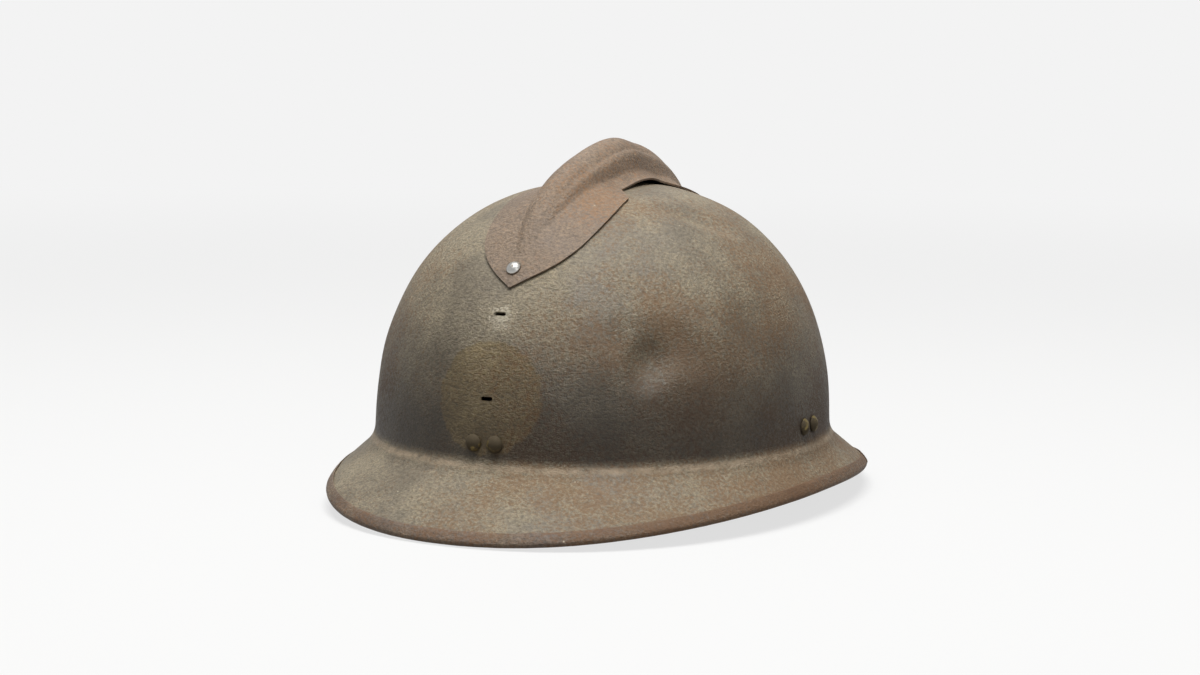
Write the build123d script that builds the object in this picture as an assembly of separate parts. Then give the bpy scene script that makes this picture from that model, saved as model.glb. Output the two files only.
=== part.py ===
from build123d import *
import math
import os

# Frame: the wearer looks along -Y, the wearer's left is +X, the helmet stands on its rim at Z 0.

# Bowl and brim, pressed from one sheet: a squared dome on an oval plan
bowl_half_length = 108.5
bowl_half_width = 95.0
bowl_rise = 107.5
bowl_squareness_share = 2.33
shell_wall = 1.0
crease_height = 25.5
crease_bend_run = 6.0
brim_end_width = 32.5
brim_side_width = 11.0
brim_half_length = bowl_half_length + brim_end_width
brim_half_width = bowl_half_width + brim_side_width
brim_squareness_share = 2.15
rim_height = 1.33
rim_side_rise = 9.5
rim_crown = 0.9

# Strip folded over the raw edge of the brim
edging_width = 5.0
edging_wall = 0.5
edging_gap = 0.15
edging_joint_gap = 0.4
edging_joint_turn = 118

# Crest: a hollow comb between two riveted shields, joined by a narrow raised neck
crest_wall = 0.8
crest_seat_gap = 0.3
crest_tip_setback = 19.5
crest_reach = bowl_half_length - crest_tip_setback
crest_shield_half_width = 26.0
crest_rear_half_width = 22.0
crest_neck_half_width = 15.0
crest_front_notch = 22.5
crest_rear_notch = 19.5
crest_notch_run = 7.0
crest_shield_shares = [(0.24, 0.968), (0.48, 0.925), (0.8, 0.79), (0.94, 0.62), (1.0, 0.42)]
crest_corner_share = 0.94
vent_lift = 2.0
vent_centre = 16.0
vent_half_run = 45.0
comb_height = 14.8
comb_centre = 2.0
comb_tip_setback = 10.0
comb_half_length = crest_reach - comb_tip_setback
comb_half_width = 12.5
comb_prow_half_width = 3.5
comb_top_width_share = 0.68
comb_shelf_share = 0.6
comb_shelf_power_share = 5
comb_prow_power_share = 2
comb_top_power_share = 2.2
comb_top_fall_share = 1.4
comb_swell_power_share = 3
comb_end_fall_share = 1.1
crest_rivet_setback = 5.5
crest_rivet_reach = crest_reach - crest_rivet_setback
crest_rivet_head_radius = 3.25

# Air holes in the crown, hidden under the comb
air_hole_radius = 1.75
air_hole_pitch = 11.0
air_hole_row_half_gap = 4.5
air_holes_in_row = 7

# Badge slots, empty, and the rivets that carry the liner
slot_length = 5.2
slot_width = 1.6
lower_slot_height = 52.7
upper_slot_height = 85.2
liner_rivet_height = 35.0
liner_rivet_half_gap = 4.8
liner_rivet_head_radius = 3.6
rivet_head_rise = 1.9
rivet_shank_radius = 1.4
rivet_hole_gap = 0.15
rivet_washer_radius = 3.0
rivet_washer_wall = 0.6
rivet_washer_gap = 0.4
clench_rise = 0.9
clench_radius = 2.3

# Liner, hung from a hoop that four riveted hooks hold off the shell
seat_gap = 0.3
hook_wall = 0.6
hook_width = 20.0
hook_foot_height = 30.5
hook_top_height = 41.0
hook_lip_rise = 5.0
liner_rise = 92.0
hoop_inset = 8.0
hoop_wall = 0.8
hoop_low = 31.5
hoop_high = 47.0
felt_wall = 1.8
felt_high = 51.0
leather_wall = 1.6
leather_low = 29.0
leather_high = 62.0
crown_low = 52.0
crown_opening_radius = 21.0
crown_gather_share = 0.2
crown_ring_count = 5
tongue_count = 7
tongue_slit_reach = 66.0
tongue_slit_half_width = 5.5
eyelet_radius = 2.0
eyelet_reach = 27.0

# Corrugated pads that keep the hoop away from the shell
pad_wall = 0.5
pad_low = 32.0
pad_high = 47.0
pad_waves = 7
pad_start_turn = 20
pad_end_turn = 70

# Chin strap bails, bent wire, each hanging from a folded lug
bail_wire_radius = 1.2
bail_pin_gap = 0.2
bail_side_gap = 0.6
bail_half_width = 13.0
bail_drop = 17.0
bail_corner_radius = 3.0
bail_pivot_height = 27.0
lug_half_width = 7.0
lug_wall = 0.6
lug_top_height = 41.0

cut_overrun = 30.0
full_turn = 360
ring_points = 16
bowl_ring_count = 12
crown_climb = math.radians(88)
crest_rows = 9
crest_columns = 12


def signed_power(value, power):
    return math.copysign(abs(value) ** power, value)


def oval_point(half_width, half_length, squareness, turn):
    """A point of the plan outline; turn 0 is the front, and it grows towards the wearer's left."""
    across = signed_power(math.sin(turn), 2 / squareness)
    along = signed_power(math.cos(turn), 2 / squareness)
    return Vector(half_width * across, -half_length * along)


def ring_turns():
    """Even turns round the helmet, counted from the wearer's left."""
    return [math.pi / 2 + 2 * math.pi * step / ring_points for step in range(ring_points)]


def bowl_height(x, y):
    """Height of the bowl's outer skin over a point of the plan."""
    reach = math.hypot(x / bowl_half_width, y / bowl_half_length)
    rise_share = (1 - reach ** bowl_squareness_share) ** (1 / bowl_squareness_share)
    return crease_height + bowl_rise * rise_share


def bowl_normal(x, y, height):
    """Direction straight out of the bowl's skin at a point on it."""
    reach = max(math.hypot(x / bowl_half_width, y / bowl_half_length), 1 / bowl_half_length)
    rise_share = (height - crease_height) / bowl_rise
    plan_pull = reach ** (bowl_squareness_share - 2)
    upward = rise_share ** (bowl_squareness_share - 1) / bowl_rise
    return Vector(
        plan_pull * x / bowl_half_width ** 2,
        plan_pull * y / bowl_half_length ** 2,
        upward,
    ).normalized()


def brim_stations(turn):
    """The brim in the upright plane at one turn: rim, two points of the turned edge, middle, bend."""
    foot_plan = oval_point(bowl_half_width, bowl_half_length, 2, turn)
    rim_plan = oval_point(brim_half_width, brim_half_length, brim_squareness_share, turn)
    foot = Vector(foot_plan.X, foot_plan.Y, crease_height)
    rim = Vector(rim_plan.X, rim_plan.Y, rim_height + rim_side_rise * math.sin(turn) ** 2)
    down = (rim - foot).normalized()
    level = Vector(down.X, down.Y, 0)
    out_of_skin = (level.normalized() * -down.Z + Vector(0, 0, level.length)).normalized()
    bend_start = foot + Vector(0, 0, crease_bend_run)
    bend_end = foot + down * crease_bend_run
    return [
        rim,
        rim - down * (edging_width / 2) + out_of_skin * (rim_crown * 3 / 4),
        rim - down * edging_width + out_of_skin * rim_crown,
        (rim + foot) / 2 + out_of_skin * (rim_crown / 2),
        bend_end,
        (bend_start + foot * 2 + bend_end) / 4,
        bend_start,
    ]


def brim_point(turn, station, inset=0, beyond=0):
    """A brim station moved into the sheet by inset, and past the rim by beyond."""
    points = brim_stations(turn)
    lower = points[max(station - 1, 0)]
    upper = points[min(station + 1, len(points) - 1)]
    climb = (upper - lower).normalized()
    plan_out = Vector(points[0].X - points[-1].X, points[0].Y - points[-1].Y, 0).normalized()
    sideways = plan_out.cross(Vector(0, 0, 1))
    into_sheet = climb.cross(sideways).normalized()
    if into_sheet.Z > 0:
        into_sheet = into_sheet * -1
    return points[station] + into_sheet * inset - climb * beyond


def closed_curve(points):
    """A smooth ring through points at even turns, so that two rings can be joined turn by turn."""
    turn_shares = [step / len(points) for step in range(len(points) + 1)]
    return Edge.make_spline(points, periodic=True, parameters=turn_shares)


def skin_rings(inset):
    """Level rings of the shell's skin, from the rim over the crease bend to near the crown."""
    turns = ring_turns()
    stations = range(len(brim_stations(0)))
    rings = [closed_curve([brim_point(turn, station, inset) for turn in turns]) for station in stations]
    rise = bowl_rise - inset
    bend_climb = math.asin((crease_bend_run / rise) ** (bowl_squareness_share / 2))
    for step in range(1, bowl_ring_count + 1):
        climb = bend_climb + (crown_climb - bend_climb) * step / bowl_ring_count
        height = crease_height + rise * math.sin(climb) ** (2 / bowl_squareness_share)
        rings.append(nested_curve(inset, height, rise))
    return rings


def closed_solid(faces):
    """The solid inside a closed set of faces, with its skin facing outwards."""
    skin = Face.sew_faces(faces)[0]
    body = Solid(Shell(skin))
    if body.volume < 0:
        body = Solid(Shell([-face for face in skin]))
    return body


def ruled_ring(curves):
    """A closed ring whose section has one corner on each of the curves, in order."""
    return closed_solid(
        [Face.make_surface_from_curves(curve, curves[step - 1]) for step, curve in enumerate(curves)]
    )


def bowl_reach(height, rise):
    """Share of a skin's half length that is left at a height, for a skin with its own rise."""
    rise_share = (height - crease_height) / rise
    return (1 - rise_share ** bowl_squareness_share) ** (1 / bowl_squareness_share)


def nested_curve(inset, height, rise):
    """Level curve of a skin that lies inset from the shell's and rises less or as much."""
    reach = bowl_reach(height, rise)
    half_width = (bowl_half_width - inset) * reach
    half_length = (bowl_half_length - inset) * reach
    plan = [oval_point(half_width, half_length, 2, turn) for turn in ring_turns()]
    return closed_curve([Vector(point.X, point.Y, height) for point in plan])


def band(inset, wall, heights, rise):
    """A strip of leather, felt or sheet that follows the bowl, its edges square to its skin."""
    outer_rise = rise - inset
    inner_rise = outer_rise - wall
    outer = [nested_curve(inset, height, outer_rise) for height in heights]
    inner_heights = [
        crease_height + (height - crease_height) * inner_rise / outer_rise for height in heights
    ]
    inner = [nested_curve(inset + wall, height, inner_rise) for height in inner_heights]
    return ruled_ring(outer + inner[::-1])


def steps_between(low, high, count):
    return [low + (high - low) * step / count for step in range(count + 1)]


def outward_place(x, y, height):
    """A placement on the bowl's skin with its Z pointing straight out."""
    return Plane(origin=(x, y, height), z_dir=bowl_normal(x, y, height)).location


def bowl_place_at_height(turn, height, side_step=0):
    """The same, at a height and a turn, moved sideways along the skin."""
    rise_share = (height - crease_height) / bowl_rise
    reach = (1 - rise_share ** bowl_squareness_share) ** (1 / bowl_squareness_share)
    plan = oval_point(bowl_half_width * reach, bowl_half_length * reach, 2, turn)
    if abs(plan.X) > abs(plan.Y):
        y = side_step
        x = math.copysign(bowl_half_width * math.sqrt(reach ** 2 - (y / bowl_half_length) ** 2), plan.X)
    else:
        x = side_step
        y = math.copysign(bowl_half_length * math.sqrt(reach ** 2 - (x / bowl_half_width) ** 2), plan.Y)
    return outward_place(x, y, height)


quarter_turns = {"front": 0, "left": math.pi / 2, "rear": math.pi, "right": 3 * math.pi / 2}


def liner_rivet_places(side):
    turn = quarter_turns[side]
    return [
        bowl_place_at_height(turn, liner_rivet_height, step)
        for step in (-liner_rivet_half_gap, liner_rivet_half_gap)
    ]


def crest_rivet_place(end):
    """On the crest's top skin, at the front for end -1 and at the rear for end 1."""
    y = end * crest_rivet_reach
    return outward_place(0, y, bowl_height(0, y))


def rivet(head_radius, grip, clench):
    """A round-headed rivet: head seated at zero, shank through the grip, clenched inside."""
    head_rise = rivet_head_rise
    dome_radius = (head_radius ** 2 + head_rise ** 2) / (2 * head_rise)
    head = Pos(0, 0, head_rise - dome_radius) * Sphere(dome_radius)
    head &= Pos(0, 0, head_rise) * Box(3 * head_radius, 3 * head_radius, 2 * head_rise)
    shank = Pos(0, 0, -grip / 2) * Cylinder(rivet_shank_radius, grip + clench)
    tail = Pos(0, 0, -grip) * Cone(clench_radius, rivet_shank_radius, clench, align=(Align.CENTER,
                                   Align.CENTER, Align.MAX))
    return head + shank + tail


def hole_cutter(radius):
    return Cylinder(radius, cut_overrun)


# Shell: one pressed sheet, with slots for the badge, holes for the rivets and air holes in the crown
outer_rings = skin_rings(0)
inner_rings = skin_rings(shell_wall)
shell_faces = [Face(Wire([rings[-1]])) for rings in (outer_rings, inner_rings)]
shell_faces.append(Face.make_surface_from_curves(outer_rings[0], inner_rings[0]))
for rings in (outer_rings, inner_rings):
    shell_faces += [Face.make_surface_from_curves(*pair) for pair in zip(rings, rings[1:])]
shell = closed_solid(shell_faces)

rivet_hole = hole_cutter(rivet_shank_radius + rivet_hole_gap)
rivet_holes = [place * rivet_hole for side in quarter_turns for place in liner_rivet_places(side)]
crest_rivet_holes = [crest_rivet_place(end) * rivet_hole for end in (-1, 1)]

slot = extrude(SlotOverall(slot_length, slot_width), cut_overrun / 2, both=True)
badge_slots = [
    bowl_place_at_height(quarter_turns["front"], slot_height) * slot
    for slot_height in (lower_slot_height, upper_slot_height)
]

crown_height = crease_height + bowl_rise
air_hole = Pos(0, 0, crown_height) * hole_cutter(air_hole_radius)
air_holes = [
    Pos(row * air_hole_row_half_gap, (step - (air_holes_in_row - 1) / 2) * air_hole_pitch, 0) * air_hole
    for row in (-1, 1)
    for step in range(air_holes_in_row)
]
shell = shell - rivet_holes - crest_rivet_holes - badge_slots - air_holes

# Edging: a strip folded over the raw edge, its two ends butted at the left rear
edging_outside = edging_gap + edging_wall
far_side = shell_wall + edging_outside
nose = edging_outside / 2
edging_corners = [
    (2, -edging_outside, 0),
    (1, -edging_outside, 0),
    (0, -edging_outside, 0),
    (0, -nose, edging_outside),
    (0, shell_wall + nose, edging_outside),
    (0, far_side, 0),
    (1, far_side, 0),
    (2, far_side, 0),
    (2, shell_wall + edging_gap, 0),
    (1, shell_wall + edging_gap, 0),
    (0, shell_wall + edging_gap, edging_gap),
    (0, -edging_gap, edging_gap),
    (1, -edging_gap, 0),
    (2, -edging_gap, 0),
]
edging_curves = [
    closed_curve([brim_point(turn, station, inset, beyond) for turn in ring_turns()])
    for station, inset, beyond in edging_corners
]
rim_edging = ruled_ring(edging_curves)
joint_cut = Pos(0, -brim_half_length, 0) * Box(edging_joint_gap, cut_overrun, 4 * cut_overrun)
rim_edging -= Rot(0, 0, edging_joint_turn) * joint_cut


def crest_height(x, y):
    """Height of the crest's top skin over the plan: flange, lifted round the vent, plus the comb."""
    skin = bowl_height(x, y)
    vent_run = (y - vent_centre) / vent_half_run
    vent = vent_lift * max(0, 1 - vent_run ** 2) ** 2
    flange = skin + (crest_seat_gap + vent + crest_wall) / bowl_normal(x, y, skin).Z
    comb_run = abs(y - comb_centre) / comb_half_length
    if comb_run >= 1:
        return flange
    swell = math.sqrt(1 - comb_run ** comb_swell_power_share)
    half_width = comb_prow_half_width + (comb_half_width - comb_prow_half_width) * swell
    top_share = comb_top_width_share + (1 - comb_top_width_share) * comb_run ** 2
    across = abs(x) / half_width
    shelf_power = comb_shelf_power_share - (comb_shelf_power_share - comb_prow_power_share) * comb_run ** 2
    shelf = max(0, 1 - across ** shelf_power) ** 2
    top = max(0, 1 - (across / top_share) ** comb_top_power_share) ** comb_top_fall_share
    section = comb_shelf_share * shelf + (1 - comb_shelf_share) * top
    return flange + comb_height * (1 - comb_run ** 2) ** comb_end_fall_share * section


def crest_point(x, y, depth):
    """A point of the crest sheet, depth straight in from its top skin."""
    step = crest_wall / 10
    slope_x = (crest_height(x + step, y) - crest_height(x - step, y)) / (2 * step)
    slope_y = (crest_height(x, y + step) - crest_height(x, y - step)) / (2 * step)
    return Vector(x, y, crest_height(x, y)) - Vector(-slope_x, -slope_y, 1).normalized() * depth


def crest_block(depth, reach_down):
    """The solid below a skin of the crest, over a plan a little larger than its outline."""
    half_length = crest_reach + crest_notch_run / 2
    half_width = crest_shield_half_width + crest_notch_run / 2
    across = [half_width * column / crest_columns for column in range(-crest_columns, crest_columns + 1)]
    along = [half_length * math.sin(math.pi / 2 * row / crest_rows) for row in range(-crest_rows, crest_rows + 1)]
    grid = [[crest_point(x, y, depth) for x in across] for y in along]
    skin = Face.make_surface_from_array_of_points(grid, tol=crest_wall / 8, min_deg=3, max_deg=3)
    return extrude(skin, reach_down, dir=(0, 0, -1))


def crest_outline(side):
    """One side of the crest's outline in plan, from the front tip to the rear tip."""
    front = [
        Vector(side * crest_shield_half_width * across, -crest_reach * along)
        for across, along in crest_shield_shares
    ]
    rear = [
        Vector(side * crest_rear_half_width * across, crest_reach * along)
        for across, along in reversed(crest_shield_shares)
    ]
    half_run = crest_notch_run / 2
    front_width = crest_shield_half_width * crest_corner_share
    rear_width = crest_rear_half_width * crest_corner_share
    front_corner = Vector(side * front_width, -crest_front_notch - half_run)
    front_neck = Vector(side * crest_neck_half_width, -crest_front_notch + half_run)
    rear_neck = Vector(side * crest_neck_half_width, crest_rear_notch - half_run)
    rear_corner = Vector(side * rear_width, crest_rear_notch + half_run)
    return [
        Spline((0, -crest_reach), *front, front_corner),
        Polyline(front_corner, front_neck, rear_neck, rear_corner),
        Spline(rear_corner, *rear, (0, crest_reach)),
    ]


# Crest: a formed sheet trimmed to its outline and drilled for its two rivets
trim = extrude(make_face(crest_outline(-1) + crest_outline(1)), 2 * crown_height)
crest = (crest_block(0, cut_overrun) & trim) - crest_block(crest_wall, 2 * cut_overrun)
crest -= crest_rivet_holes


def side_box(side, width, low, high):
    """A box through the wall on one side, as wide as a piece that sits there."""
    box = Pos(0, -brim_half_length / 2, (low + high) / 2) * Box(width, brim_half_length, high - low)
    return Rot(0, 0, math.degrees(quarter_turns[side])) * box


def hook_ring(plate_inset):
    """The hooks' section all round: plate on the wall, foot inwards, lip up behind the hoop."""
    plate_back = plate_inset + hook_wall
    lip_front = hoop_inset + hoop_wall + seat_gap
    lip_back = lip_front + hook_wall
    foot_top = hook_foot_height + hook_wall
    lip_top = hook_foot_height + hook_lip_rise
    corners = [
        (plate_inset, hook_foot_height),
        (plate_inset, liner_rivet_height),
        (plate_inset, hook_top_height),
        (plate_back, hook_top_height),
        (plate_back, liner_rivet_height),
        (plate_back, foot_top),
        (lip_front, foot_top),
        (lip_front, lip_top),
        (lip_back, lip_top),
        (lip_back, hook_foot_height),
    ]
    return ruled_ring([nested_curve(inset, height, bowl_rise - inset) for inset, height in corners])


# Liner hooks: the side ones sit on the bail lugs, the front and rear ones on the bare wall
bare_inset = shell_wall + seat_gap
lugged_inset = bare_inset + lug_wall + seat_gap
hook_rings = {"front": hook_ring(bare_inset), "left": hook_ring(lugged_inset)}
hook_rings["rear"] = hook_rings["front"]
hook_rings["right"] = hook_rings["left"]
liner_hooks = {}
for side, ring in hook_rings.items():
    hook_space = side_box(side, hook_width, 0, crown_height)
    liner_hooks[side] = (ring & hook_space) - rivet_holes

# Liner rivets: two to a hook, heads outside, clenched on the hook
grips = {"front": bare_inset + hook_wall + seat_gap, "left": lugged_inset + hook_wall + seat_gap}
grips["rear"] = grips["front"]
grips["right"] = grips["left"]
liner_rivets = []
for side, grip in grips.items():
    one_rivet = Pos(0, 0, seat_gap) * rivet(liner_rivet_head_radius, grip + seat_gap, clench_rise)
    liner_rivets += [place * one_rivet for place in liner_rivet_places(side)]

# Crest rivets: through crest and shell, clenched on a washer
crest_stack = crest_seat_gap + crest_wall + seat_gap
washer_depth = shell_wall + rivet_washer_gap
crest_grip = crest_stack + washer_depth + rivet_washer_wall + seat_gap
crest_rivet = Pos(0, 0, crest_stack) * rivet(crest_rivet_head_radius, crest_grip, clench_rise)
crest_rivets = [crest_rivet_place(end) * crest_rivet for end in (-1, 1)]
washer = Pos(0, 0, -washer_depth - rivet_washer_wall / 2) * (
    Cylinder(rivet_washer_radius, rivet_washer_wall)
    - Cylinder(rivet_shank_radius + rivet_hole_gap, rivet_washer_wall)
)
crest_washers = [crest_rivet_place(end) * washer for end in (-1, 1)]

# Hoop, felt and leather: nested strips, each one wall and one gap further in
felt_inset = hoop_inset + hoop_wall + seat_gap
leather_inset = felt_inset + felt_wall + seat_gap
crown_inset = leather_inset - seat_gap - leather_wall
liner_hoop = band(hoop_inset, hoop_wall, steps_between(hoop_low, hoop_high, 3), liner_rise)
felt_low = hoop_low
felt_band = band(felt_inset, felt_wall, steps_between(felt_low, felt_high, 3), liner_rise)
notch_top = hook_foot_height + hook_lip_rise + seat_gap
felt_band -= [
    side_box(side, hook_width + 2 * felt_wall, leather_low, notch_top)
    for side in quarter_turns
]

# Sweatband: a plain strip of leather inside the felt, as tall as the crown leather's seam needs
leather_heights = steps_between(leather_low, crown_low, 2) + [leather_high]
sweatband = band(leather_inset, leather_wall, leather_heights, liner_rise)

# Crown leather: tongues drawn together under the crown by eyelets at their tips
crown_rise = liner_rise - crown_inset
crown_top = crease_height + crown_rise * (1 - crown_gather_share ** 2) ** (1 / bowl_squareness_share)
crown_climbs = steps_between(0, math.pi / 2, crown_ring_count)
crown_heights = [crown_low] + [
    leather_high + (crown_top - leather_high) * math.sin(climb) for climb in crown_climbs
]
crown_skin = band(crown_inset, leather_wall, crown_heights, liner_rise)
slit_plan = make_face(
    Polyline(
        (0, -tongue_slit_half_width), (tongue_slit_reach, 0), (0, tongue_slit_half_width), close=True
    )
)
slit = Pos(0, 0, crown_low) * extrude(slit_plan, bowl_rise)
tongue_turn = full_turn / tongue_count
crown_cuts = [Pos(0, 0, crown_height) * Cylinder(crown_opening_radius, 4 * cut_overrun)]
for step in range(tongue_count):
    crown_cuts.append(Rot(0, 0, tongue_turn * (step + 0.5)) * slit)
    eyelet = Pos(eyelet_reach, 0, crown_height) * Cylinder(eyelet_radius, 4 * cut_overrun)
    crown_cuts.append(Rot(0, 0, tongue_turn * step) * eyelet)
crown_leather = crown_skin - crown_cuts


def corrugated_pad(quarter):
    """One wavy strip between shell and hoop, in the quarter that starts at this many turns."""
    draw_in = bowl_half_length * (1 - (1 - ((pad_high - crease_height) / bowl_rise)
                                       ** bowl_squareness_share) ** (1 / bowl_squareness_share))
    outer_inset = shell_wall + draw_in + seat_gap + pad_wall / 2
    inner_inset = hoop_inset - seat_gap - pad_wall / 2
    middle_inset = (inner_inset + outer_inset) / 2
    insets = [middle_inset, outer_inset, middle_inset, inner_inset]
    points = []
    for step in range(4 * pad_waves + 1):
        turn = math.radians(pad_start_turn + (pad_end_turn - pad_start_turn) * step / (4 * pad_waves))
        inset = insets[step % 4]
        points.append(oval_point(bowl_half_width - inset, bowl_half_length - inset, 2, turn))
    arcs = [ThreePointArc(*points[step:step + 3]) for step in range(0, 4 * pad_waves, 2)]
    wave = trace(arcs, pad_wall)
    pad = Pos(0, 0, pad_low) * extrude(wave, pad_high - pad_low)
    if quarter in ("rear_left", "rear_right"):
        pad = mirror(pad, Plane.XZ)
    if quarter in ("front_right", "rear_right"):
        pad = mirror(pad, Plane.YZ)
    return pad


pads = {
    quarter: corrugated_pad(quarter)
    for quarter in ("front_left", "front_right", "rear_left", "rear_right")
}

# Bail lugs and bails: a strap folded round the wire's top bar
knuckle_radius = bail_wire_radius + bail_pin_gap + lug_wall
pivot_reach = bowl_half_width - bare_inset - knuckle_radius
bail_top_half_width = lug_half_width + bail_side_gap + bail_corner_radius
strap_ring = band(bare_inset, lug_wall, steps_between(bail_pivot_height, lug_top_height, 2), bowl_rise)
lying = Rot(90, 0, 0)
pivot_place = Pos(pivot_reach, 0, bail_pivot_height) * lying
strap = strap_ring & side_box("left", 2 * lug_half_width, 0, crown_height)
knuckle = pivot_place * Cylinder(knuckle_radius, 2 * lug_half_width)
wire_bore = pivot_place * Cylinder(bail_wire_radius + bail_pin_gap, 4 * lug_half_width)
left_lug = (strap + knuckle) - wire_bore - rivet_holes
bail_path = FilletPolyline(
    (pivot_reach, -bail_top_half_width, bail_pivot_height),
    (pivot_reach, bail_top_half_width, bail_pivot_height),
    (pivot_reach, bail_half_width, bail_pivot_height - bail_drop),
    (pivot_reach, -bail_half_width, bail_pivot_height - bail_drop),
    radius=bail_corner_radius,
    close=True,
)
bail_start = Plane(origin=bail_path @ 0, z_dir=bail_path % 0)
left_bail = sweep(bail_start * Circle(bail_wire_radius), path=bail_path)

pieces = {
    "shell": shell,
    "rim_edging": rim_edging,
    "crest": crest,
    "crest_rivets": Compound(crest_rivets),
    "crest_rivet_washers": Compound(crest_washers),
    "liner_rivets": Compound(liner_rivets),
    "liner_hoop": liner_hoop,
    "felt_band": felt_band,
    "sweatband": sweatband,
    "crown_leather": crown_leather,
    "left_bail_lug": left_lug,
    "right_bail_lug": mirror(left_lug, Plane.YZ),
    "left_bail": left_bail,
    "right_bail": mirror(left_bail, Plane.YZ),
}
for side in quarter_turns:
    pieces[f"{side}_liner_hook"] = liner_hooks[side]
for quarter, pad in pads.items():
    pieces[f"{quarter}_pad"] = pad

os.makedirs("parts", exist_ok=True)
for name, piece in pieces.items():
    export_step(piece, f"parts/{name}.step")
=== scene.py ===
import math

import bmesh
import bpy
from mathutils import Matrix, Vector, noise


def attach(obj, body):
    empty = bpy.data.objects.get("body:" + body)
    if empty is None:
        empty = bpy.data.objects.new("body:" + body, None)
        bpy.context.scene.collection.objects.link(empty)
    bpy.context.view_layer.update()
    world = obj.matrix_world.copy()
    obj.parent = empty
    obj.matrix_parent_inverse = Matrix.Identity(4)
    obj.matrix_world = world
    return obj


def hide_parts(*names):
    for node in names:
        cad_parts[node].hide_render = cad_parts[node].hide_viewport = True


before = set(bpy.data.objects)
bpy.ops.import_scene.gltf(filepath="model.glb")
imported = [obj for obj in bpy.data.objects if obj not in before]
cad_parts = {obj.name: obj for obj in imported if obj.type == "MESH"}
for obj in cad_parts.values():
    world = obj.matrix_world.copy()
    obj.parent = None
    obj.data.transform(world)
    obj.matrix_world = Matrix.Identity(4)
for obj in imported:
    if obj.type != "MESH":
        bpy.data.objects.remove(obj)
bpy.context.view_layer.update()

# Studio: a pale floor under a white world, one broad lamp overhead and two soft fills, so the old paint
# shows its own colour. The floor takes the helmet's shadow.
def linear(hex_colour):
    """A colour written as sRGB hex, as the shader wants it."""
    shares = [int(hex_colour[place:place + 2], 16) / 255 for place in (1, 3, 5)]
    return tuple(
        share / 12.92 if share <= 0.04045 else ((share + 0.055) / 1.055) ** 2.4 for share in shares
    ) + (1,)


def new_material(name):
    """A material with no nodes in it yet."""
    material = bpy.data.materials.new(name)
    material.use_nodes = True
    material.node_tree.nodes.clear()
    return material


def add_node(material, kind, inputs=None, **settings):
    """Adds one node; inputs holds a value or another node's socket for each of its sockets."""
    node = material.node_tree.nodes.new(kind)
    for name, value in settings.items():
        setattr(node, name, value)
    for socket, value in (inputs or {}).items():
        if isinstance(value, bpy.types.NodeSocket):
            material.node_tree.links.new(value, node.inputs[socket])
        else:
            node.inputs[socket].default_value = value
    return node


def new_object(name, form, material):
    """Turns a bmesh into an object at the origin."""
    mesh = bpy.data.meshes.new(name)
    form.to_mesh(mesh)
    form.free()
    mesh.materials.append(material)
    piece = bpy.data.objects.new(name, mesh)
    bpy.context.scene.collection.objects.link(piece)
    return piece


# To the camera the floor glows near the helmet and fades into the world's white further off. From below it
# is clear. Gloss shows floor and world at a share of their white, so that they hardly light the paint.
backdrop_white = "#f3f3f3"
mirrored_share = 0.6
floor_reach = 4.0
floor_drop = 0.0006
fade_start = 0.35
fade_end = 1.8
dim_world_share = 0.14
floor_paper = new_material("studio paper")
floor_path = add_node(floor_paper, "ShaderNodeLightPath")
floor_straight = add_node(floor_paper, "ShaderNodeMath", {
    0: floor_path.outputs["Is Camera Ray"], 1: floor_path.outputs["Is Transmission Ray"]},
    operation="MAXIMUM")
floor_seen = add_node(floor_paper, "ShaderNodeMath", {
    0: floor_path.outputs["Is Glossy Ray"], 1: mirrored_share, 2: floor_straight.outputs[0]},
    operation="MULTIPLY_ADD")
matt = add_node(floor_paper, "ShaderNodeBsdfDiffuse", {"Color": linear("#8c8c8a")})
shaded = add_node(floor_paper, "ShaderNodeBsdfDiffuse", {"Color": linear("#6c6c6b")})
glow = add_node(floor_paper, "ShaderNodeEmission", {"Color": linear(backdrop_white), "Strength": 0.8})
lit = add_node(floor_paper, "ShaderNodeAddShader", {0: shaded.outputs[0], 1: glow.outputs[0]})
far_white = add_node(floor_paper, "ShaderNodeEmission", {"Color": linear(backdrop_white)})
from_middle = add_node(floor_paper, "ShaderNodeVectorMath", {
    0: add_node(floor_paper, "ShaderNodeTexCoord").outputs["Object"]}, operation="LENGTH")
far_share = add_node(floor_paper, "ShaderNodeMapRange", {
    "Value": from_middle.outputs["Value"], "From Min": fade_start, "From Max": fade_end},
    interpolation_type="SMOOTHSTEP")
paper = add_node(floor_paper, "ShaderNodeMixShader", {
    0: far_share.outputs[0], 1: lit.outputs[0], 2: far_white.outputs[0]})
shown = add_node(floor_paper, "ShaderNodeMixShader", {
    0: floor_seen.outputs[0], 1: matt.outputs[0], 2: paper.outputs[0]})
clear = add_node(floor_paper, "ShaderNodeBsdfTransparent")
from_below = add_node(floor_paper, "ShaderNodeNewGeometry")
one_sided = add_node(floor_paper, "ShaderNodeMixShader", {
    0: from_below.outputs["Backfacing"], 1: shown.outputs[0], 2: clear.outputs[0]})
add_node(floor_paper, "ShaderNodeOutputMaterial", {"Surface": one_sided.outputs[0]})

floor_form = bmesh.new()
bmesh.ops.create_grid(floor_form, x_segments=2, y_segments=2, size=floor_reach,
                      matrix=Matrix.Translation((0, 0, -floor_drop)))
studio_floor = new_object("studio_floor", floor_form, floor_paper)

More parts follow.
